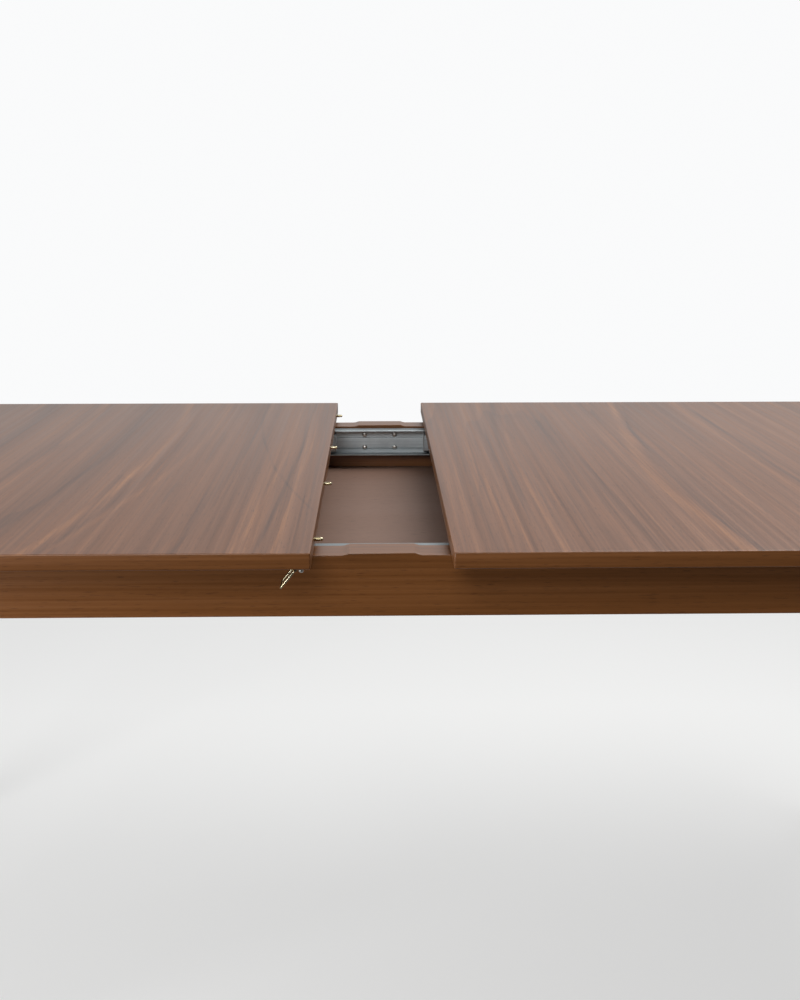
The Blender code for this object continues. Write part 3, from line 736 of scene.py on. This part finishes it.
SHEET = 1.6 * MM
GAP = 0.3 * MM  # between the channel and the apron
LIP = 19.2 * MM  # from the slide's middle to the lips' free edges
BAND_LOW, BAND_HIGH = -11.8 * MM, 5.2 * MM  # the web's embossed band
EMBOSS, STEP = 1.3 * MM, 0.4 * MM
CHANNEL_CORNER = 0.82 * MM
RIVET_X, RIVET_W = 24.5 * MM, 10.3 * MM  # W is the height from the slide's middle
CHANNEL_SCREW_X = (-0.500, -0.250, 0.250, 0.500)
RUNNER_BACK, RUNNER_MOUTH, RUNNER_CORNER = 20.5 * MM, 6.2 * MM, 1.6 * MM  # depths from the apron
STOP_DEPTH, STOP_HEIGHT, STOP_LENGTH = (4.2 * MM, 20.6 * MM), 14.7 * MM, 2.2 * MM
RUNNER_SCREWS, RUNNER_SCREW_INSET = 4, 40 * MM
CAGE_SHEET, CAGE_WEB, CAGE_MOUTH, CAGE_FLANGE = 0.8 * MM, 4.8 * MM, 15 * MM, 16.7 * MM
BALLS, BALL_RADIUS, BALL_DEPTH = 12, 2.4 * MM, 10.5 * MM


def section(name, node, path, radius, sheet, end):
    """A folded section along X, on the box of its CAD node. Its path is (depth from the apron, height).
    Returns the piece, the Y of the apron's inner face and the Z of the slide's middle."""
    low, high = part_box(node)
    apron_low, apron_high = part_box(f"{end}_apron")
    sign = ENDS[end]
    face_y = apron_low.y if sign > 0 else apron_high.y
    channel_low, channel_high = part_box(f"{end}_slide_channel")
    middle_z = (channel_low.z + channel_high.z) / 2
    sides = sheet_outline(rounded_path(path, radius), sheet)

    def build(bm):
        extrude_sheet(bm, sides, lambda u, w, x: (x, face_y - sign * u, middle_z + w), low.x, high.x)

    return smooth(link(name, mesh_from(name, build)), 50), face_y, middle_z


def make_slides(look):
    screws, rivets, balls = screw_tree(), rivet_tree(), ball_tree()
    for end, sign in ENDS.items():
        node = f"{end}_slide_channel"
        low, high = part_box(node)
        web = GAP + SHEET / 2
        edge = high.y - low.y + GAP - SHEET / 2
        flange = (high.z - low.z - SHEET) / 2
        path = [(edge, LIP), (edge, flange), (web, flange), (web, BAND_HIGH + STEP)]
        path += [(web + EMBOSS, BAND_HIGH), (web + EMBOSS, BAND_LOW), (web, BAND_LOW - STEP)]
        path += [(web, -flange), (edge, -flange), (edge, -LIP)]
        name = f"{end}_slide_fixed_channel"
        piece, face_y, middle_z = section(name, node, path, CHANNEL_CORNER, SHEET, end)
        finish(paint(piece, look["zinc"]), "frame", slot_of(node), node)

        outward, slot = (0, -sign, 0), slot_of(node)
        seat = face_y - sign * (GAP + SHEET)
        rows = ((-RIVET_W, seat - sign * EMBOSS), (RIVET_W, seat))
        places = [(x, depth, middle_z + w) for x in (-RIVET_X, RIVET_X) for w, depth in rows]
        sizes = {"Head radius": 4.0 * MM, "Head height": 2.2 * MM}
        grow(f"{end}_channel_rivets", rivets, places, sizes, outward, look["nickel"], "frame", slot)
        places = [(x, seat, middle_z + RIVET_W + MM) for x in CHANNEL_SCREW_X]
        sizes = {"Head radius": 2.8 * MM, "Head height": 1.2 * MM}
        grow(f"{end}_channel_screws", screws, places, sizes, outward, look["zinc"], "frame", slot)
        for side_name, side in SIDES.items():
            corner = f"{end}_{side_name}"
            make_runner(look, corner, end, side, screws)
            make_cage(look, corner, end, balls)


def make_runner(look, corner, end, side, screws):
    """The moving member: a C section with a nylon end stop, screwed to its batten."""
    node = f"{corner}_runner"
    body = body_of(node)
    low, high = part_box(node)
    back = RUNNER_BACK - SHEET / 2
    flange = (high.z - low.z - SHEET) / 2
    path = [(RUNNER_MOUTH, flange), (back, flange), (back, -flange), (RUNNER_MOUTH, -flange)]
    name = f"{corner}_slide_runner"
    piece, face_y, middle_z = section(name, node, path, RUNNER_CORNER, SHEET, end)
    finish(paint(piece, look["zinc"]), body, slot_of(node), node)

    sign = ENDS[end]
    inner_x = high.x if side < 0 else low.x

    def build(bm):
        xs = sorted((inner_x - side * 0.2 * MM, inner_x - side * STOP_LENGTH))
        ys = sorted(face_y - sign * u for u in STOP_DEPTH)
        nearest = Vector((xs[0], ys[0], middle_z - STOP_HEIGHT))
        furthest = Vector((xs[1], ys[1], middle_z + STOP_HEIGHT))
        size = Matrix.Diagonal((*(furthest - nearest), 1))
        place = Matrix.Translation((nearest + furthest) / 2) @ size
        bmesh.ops.create_cube(bm, size=1, matrix=place)
        bmesh.ops.bevel(bm, geom=bm.edges[:], offset=0.7 * MM, segments=3, profile=0.5, affect="EDGES")

    stop = smooth(link(f"{corner}_runner_end_stop", mesh_from("end_stop", build)))
    finish(paint(stop, look["nylon"]), body, "zinc_plated_steel")
    inside = face_y - sign * (RUNNER_BACK - SHEET)
    first, last = low.x + RUNNER_SCREW_INSET, high.x - RUNNER_SCREW_INSET
    steps = [i / (RUNNER_SCREWS - 1) for i in range(RUNNER_SCREWS)]
    places = [(first + (last - first) * step, inside, middle_z) for step in steps]
    sizes = {"Head radius": 3.4 * MM, "Head height": 1.4 * MM}
    name = f"{corner}_runner_screws"
    grow(name, screws, places, sizes, (0, sign, 0), look["zinc"], body, slot_of(node))


def make_cage(look, corner, end, balls):
    """The ball retainer: thin folded steel with a row of balls above and below."""
    node = f"{corner}_ball_cage"
    body = body_of(node)
    low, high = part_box(node)
    path = [(CAGE_MOUTH, CAGE_FLANGE), (CAGE_WEB, CAGE_FLANGE)]
    path += [(CAGE_WEB, -CAGE_FLANGE), (CAGE_MOUTH, -CAGE_FLANGE)]
    name = f"{corner}_ball_retainer"
    piece, face_y, middle_z = section(name, node, path, CAGE_SHEET, CAGE_SHEET, end)
    finish(paint(piece, look["zinc"]), body, slot_of(node), node)
    pitch = (high.x - low.x) / BALLS
    depth = face_y - ENDS[end] * BALL_DEPTH
    xs = [low.x + pitch * (i + 0.5) for i in range(BALLS)]
    places = [(x, depth, middle_z + w) for x in xs for w in (-CAGE_FLANGE, CAGE_FLANGE)]
    sizes = {"Ball radius": BALL_RADIUS}
    grow(f"{corner}_balls", balls, places, sizes, (0, 0, 1), look["chrome"], body, slot_of(node))


# ---------------------------------------------------------------- brass


def make_pins(look):
    """Turned brass pins: a straight shank, a groove, then a domed tip."""
    for i in range(1, 5):
        node = f"alignment_pin_{i}"
        low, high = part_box(node)
        radius, length = (high.y - low.y) / 2, high.x - low.x
        tip_length, groove_radius = 2.6 * MM, radius - 0.6 * MM
        dome_start = length - tip_length
        tip = [(radius * x, dome_start + tip_length * y) for x, y in arc((0, 0), 1, 0, 90, 8)[:-1]]
        profile = [(radius - 0.4 * MM, 0), (radius, 0.5 * MM), (radius, dome_start - 1.2 * MM)]
        profile += [(groove_radius, dome_start - 0.8 * MM), (groove_radius, dome_start - 0.3 * MM)]
        profile += tip + [(0, length)]
        spot = along((1, 0, 0), (low.x, (low.y + high.y) / 2, (low.z + high.z) / 2))
        mesh = mesh_from(node, lambda bm, profile=profile, spot=spot: turned(bm, profile, 32, spot))
        piece = smooth(link(f"brass_pin_{i}", mesh), 40)
        finish(paint(piece, look["brass"]), body_of(node), slot_of(node), node)


PLATE_SHEET = 0.9 * MM
BARREL = 1.75 * MM  # the radius of the roll's middle line
WIRE = 1.1 * MM  # the bail wire's radius


def make_latches(look):
    """Wire bail latches: a rolled plate and its bail on the left half, a low catch on the right."""
    for end, sign in ENDS.items():
        plate_node, bail_node, keeper_node = f"{end}_latch_plate", f"{end}_latch_bail", f"{end}_latch_keeper"
        joint = next(j for j in frame["joints"] if j["name"] == f"{end}_bail_hinge")
        pivot = Vector(joint["pos_m"])
        low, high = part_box(plate_node)
        make_latch_plate(look, plate_node, pivot, low, high)
        make_latch_screw(look, end, pivot, high.z - PLATE_SHEET)
        make_bail(look, bail_node, pivot)
        piece = paint(copied(f"{keeper_node}_finished", keeper_node, 0.25 * MM), look["brass"])
        finish(piece, body_of(keeper_node), slot_of(keeper_node), keeper_node)


def make_latch_plate(look, node, pivot, low, high):
    """One strip of brass: flat under the half, rolled round the bail's ends at its outer edge."""
    flat_z = high.z - PLATE_SHEET / 2
    curl = arc((pivot.x, pivot.z), BARREL, 90, 400, 20)
    path = [Vector((high.x, flat_z)), Vector((pivot.x + 1.6 * MM, flat_z))]
    path += [Vector(point) for point in curl]
    sides = sheet_outline(path, PLATE_SHEET)

    def build(bm):
        extrude_sheet(bm, sides, lambda u, w, y: (u, y, w), low.y, high.y)

    piece = smooth(link(f"{node}_rolled", mesh_from(node, build)), 50)
    finish(paint(piece, look["brass"]), body_of(node), slot_of(node), node)


SCREW_FROM_PIVOT = 6.2 * MM
SCREW_HEIGHT = 6.3 * MM


def make_latch_screw(look, end, pivot, plate_z):
    """The screw that holds the latch: a pan head with a slot, standing on a turned collar."""
    spot = along((0, 0, -1), (pivot.x + SCREW_FROM_PIVOT, pivot.y, plate_z))
    collar = [(3.1 * MM, 0), (3.1 * MM, 2.4 * MM), (2.8 * MM, 2.7 * MM), (2.0 * MM, 2.7 * MM)]
    head = [(2.0 * MM, 3.0 * MM), (2.7 * MM, 3.1 * MM), (2.7 * MM, 4.2 * MM)]
    dome = [(2.7 * MM * x, (4.2 + 2.1 * y) * MM) for x, y in arc((0, 0), 1, 0, 90, 7)[1:-1]]

    def build(bm):
        turned(bm, collar + head + dome + [(0, SCREW_HEIGHT)], 40, spot)

    piece = link(f"{end}_latch_screw", mesh_from("latch_screw", build))

    def slot(bm):
        size = Matrix.Diagonal((8 * MM, 0.7 * MM, 2.2 * MM, 1))
        place = spot @ Matrix.Translation((0, 0, SCREW_HEIGHT)) @ size
        bmesh.ops.create_cube(bm, size=1, matrix=place)

    cutter = link("slot_cutter", mesh_from("slot", slot))
    cut = piece.modifiers.new("slot", "BOOLEAN")
    cut.object = cutter
    plain(piece)
    bpy.data.objects.remove(cutter)
    finish(paint(smooth(piece, 40), look["nickel"]), "left_half", "brass")


def make_bail(look, node, pivot):
    """The wire loop, with its ends turned in where the plate holds them."""
    low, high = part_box(node)
    half_width = (high.y - low.y) / 2 - WIRE
    tip = Vector((low.x + WIRE, 0, low.z + WIRE)) - Vector((pivot.x, 0, pivot.z))
    stub = 1.5 * MM
    flat = [(0, -stub), (0, -half_width), (1, -half_width), (1, half_width), (0, half_width), (0, stub)]
    reach = tip.length
    points = rounded_path([(out * reach, y, 0) for out, y in flat], 2.4 * MM, 8)
    way = tip.normalized()
    curve = bpy.data.curves.new(node, "CURVE")
    curve.dimensions = "3D"
    curve.bevel_depth = WIRE
    curve.bevel_resolution = 4
    curve.use_fill_caps = True
    spline = curve.splines.new("POLY")
    spline.points.add(len(points) - 1)
    for point, target in zip(spline.points, points):
        point.co = (*(pivot + way * target.x + Vector((0, target.y, 0))), 1)
    drawn = link(f"{node}_drawn", curve)
    graph = bpy.context.evaluated_depsgraph_get()
    mesh = bpy.data.meshes.new_from_object(drawn.evaluated_get(graph))
    bpy.data.objects.remove(drawn)
    piece = smooth(link(f"{node}_wire", mesh), 40)
    finish(paint(piece, look["brass"]), body_of(node), slot_of(node), node)


def make_small_parts(look):
    """Leg bolts, foot glides and the leaf's hinges."""
    for end in ENDS:
        for side in SIDES:
            for kind, finish_name, edge in (("leg_bolt", "zinc", 0.3 * MM), ("foot_glide", "black_nylon", 0)):
                node = f"{end}_{side}_{kind}"
                piece = paint(copied(f"{node}_finished", node, edge), look[finish_name])
                finish(piece, body_of(node), slot_of(node), node)
    for side in SIDES:
        node = f"leaf_hinge_{side}"
        piece = paint(copied(f"{node}_finished", node, 0.3 * MM), look["brass"])
        finish(piece, body_of(node), slot_of(node), node)


# ---------------------------------------------------------------- studio


CAMERA_AT = (-0.0053, -1.5715, 1.0946)
PITCH, YAW, ROLL = 0.24574, 0.0202, 0.0002  # radians
LENS, SENSOR = 42.8, 36  # mm


def make_camera():
    """Above the table in front, looking down at the gap between the halves."""
    forward = Vector((sin(YAW) * cos(PITCH), cos(YAW) * cos(PITCH), -sin(PITCH)))
    level = Vector((cos(YAW), -sin(YAW), 0))
    upward = level.cross(forward)
    right = level * cos(ROLL) + upward * sin(ROLL)
    up = upward * cos(ROLL) - level * sin(ROLL)
    data = bpy.data.cameras.new("camera")
    data.sensor_width = SENSOR
    data.lens = LENS
    camera = bpy.data.objects.new("camera", data)
    bpy.context.scene.collection.objects.link(camera)
    turn = Matrix((right, up, -forward)).transposed().to_4x4()
    camera.matrix_world = Matrix.Translation(CAMERA_AT) @ turn
    bpy.context.scene.camera = camera


BACKDROP = (0.955, 0.96, 0.965, 1)


def make_floor():
    """A pale floor that fades into the backdrop's own white far from the table. It only shows and takes
    shadows. The light that it would throw back up is the lower half of the room's."""
    material, tree, shader = new_material("pale_floor")
    shader.inputs["Base Color"].default_value = (0.50, 0.50, 0.49, 1)
    shader.inputs["Roughness"].default_value = 0.75
    shader.inputs["Emission Color"].default_value = BACKDROP
    shader.inputs["Emission Strength"].default_value = 0.41
    place = put(tree, "ShaderNodeTexCoord").outputs["Object"]
    away = put(tree, "ShaderNodeVectorMath", {0: place}, operation="LENGTH").outputs["Value"]
    fade = put(tree, "ShaderNodeMapRange", {0: away, 1: 1.6, 2: 4.5}, interpolation_type="SMOOTHSTEP")
    glow = put(tree, "ShaderNodeEmission", {"Color": BACKDROP})
    both = put(tree, "ShaderNodeMixShader", {0: fade, 1: shader, 2: glow})
    tree.links.new(both.outputs[0], tree.nodes["Material Output"].inputs[0])

    def build(bm):
        bmesh.ops.create_circle(bm, cap_ends=True, radius=30, segments=96)

    floor = paint(link("floor", mesh_from("floor", build)), material)
    floor.visible_diffuse = False
    floor.visible_glossy = False


def softbox(name, at, aim, size, power):
    data = bpy.data.lights.new(name, "AREA")
    data.shape = "RECTANGLE"
    data.size, data.size_y = size
    data.energy = power
    lamp = bpy.data.objects.new(name, data)
    bpy.context.scene.collection.objects.link(lamp)
    lamp.matrix_world = along(Vector(at) - Vector(aim), at)


SOFTBOXES = {  # where each is, what it aims at, its size in metres and its power in watts
    "low_from_left": ((-1.45, -1.25, 0.80), (0.0, -0.40, 0.70), (0.9, 0.6), 21),
    "key_from_front": ((-0.5, -2.3, 2.1), (0.0, 0.0, 0.72), (1.1, 0.9), 25),
    "overhead": ((0.9, 0.2, 2.7), (-0.05, 0.0, 0.7), (1.8, 1.8), 46),
}


def make_studio():
    """White paper behind and above, a darker room in front, and softboxes low left, in front and above."""
    world = bpy.data.worlds.new("studio")
    world.use_nodes = True
    bpy.context.scene.world = world
    tree = world.node_tree
    background = tree.nodes["Background"]
    background.inputs["Color"].default_value = BACKDROP
    way = put(tree, "ShaderNodeTexCoord").outputs["Generated"]
    split = put(tree, "ShaderNodeSeparateXYZ", {0: way})
    toward_back = put(tree, "ShaderNodeMapRange", {0: split.outputs["Y"], 1: -0.5, 2: 0.6, 3: 0.12, 4: 0.78})
    upward = put(tree, "ShaderNodeMapRange", {0: split.outputs["Z"], 1: -0.15, 2: 0.05, 3: 0.55, 4: 1.0})
    room = put(tree, "ShaderNodeMath", {0: toward_back, 1: upward}, operation="MULTIPLY")
    seen = put(tree, "ShaderNodeLightPath").outputs["Is Camera Ray"]
    strength = put(tree, "ShaderNodeMix", {0: seen, 2: room, 3: 1.0})
    tree.links.new(strength.outputs[0], background.inputs["Strength"])
    for name, (at, aim, size, power) in SOFTBOXES.items():
        softbox(name, at, aim, size, power)
    bpy.context.scene.view_settings.view_transform = "Standard"


def main():
    make_camera()
    look = make_materials()
    make_tops(look)
    make_frame(look)
    make_slides(look)
    make_pins(look)
    make_latches(look)
    make_small_parts(look)
    make_floor()
    make_studio()


main()
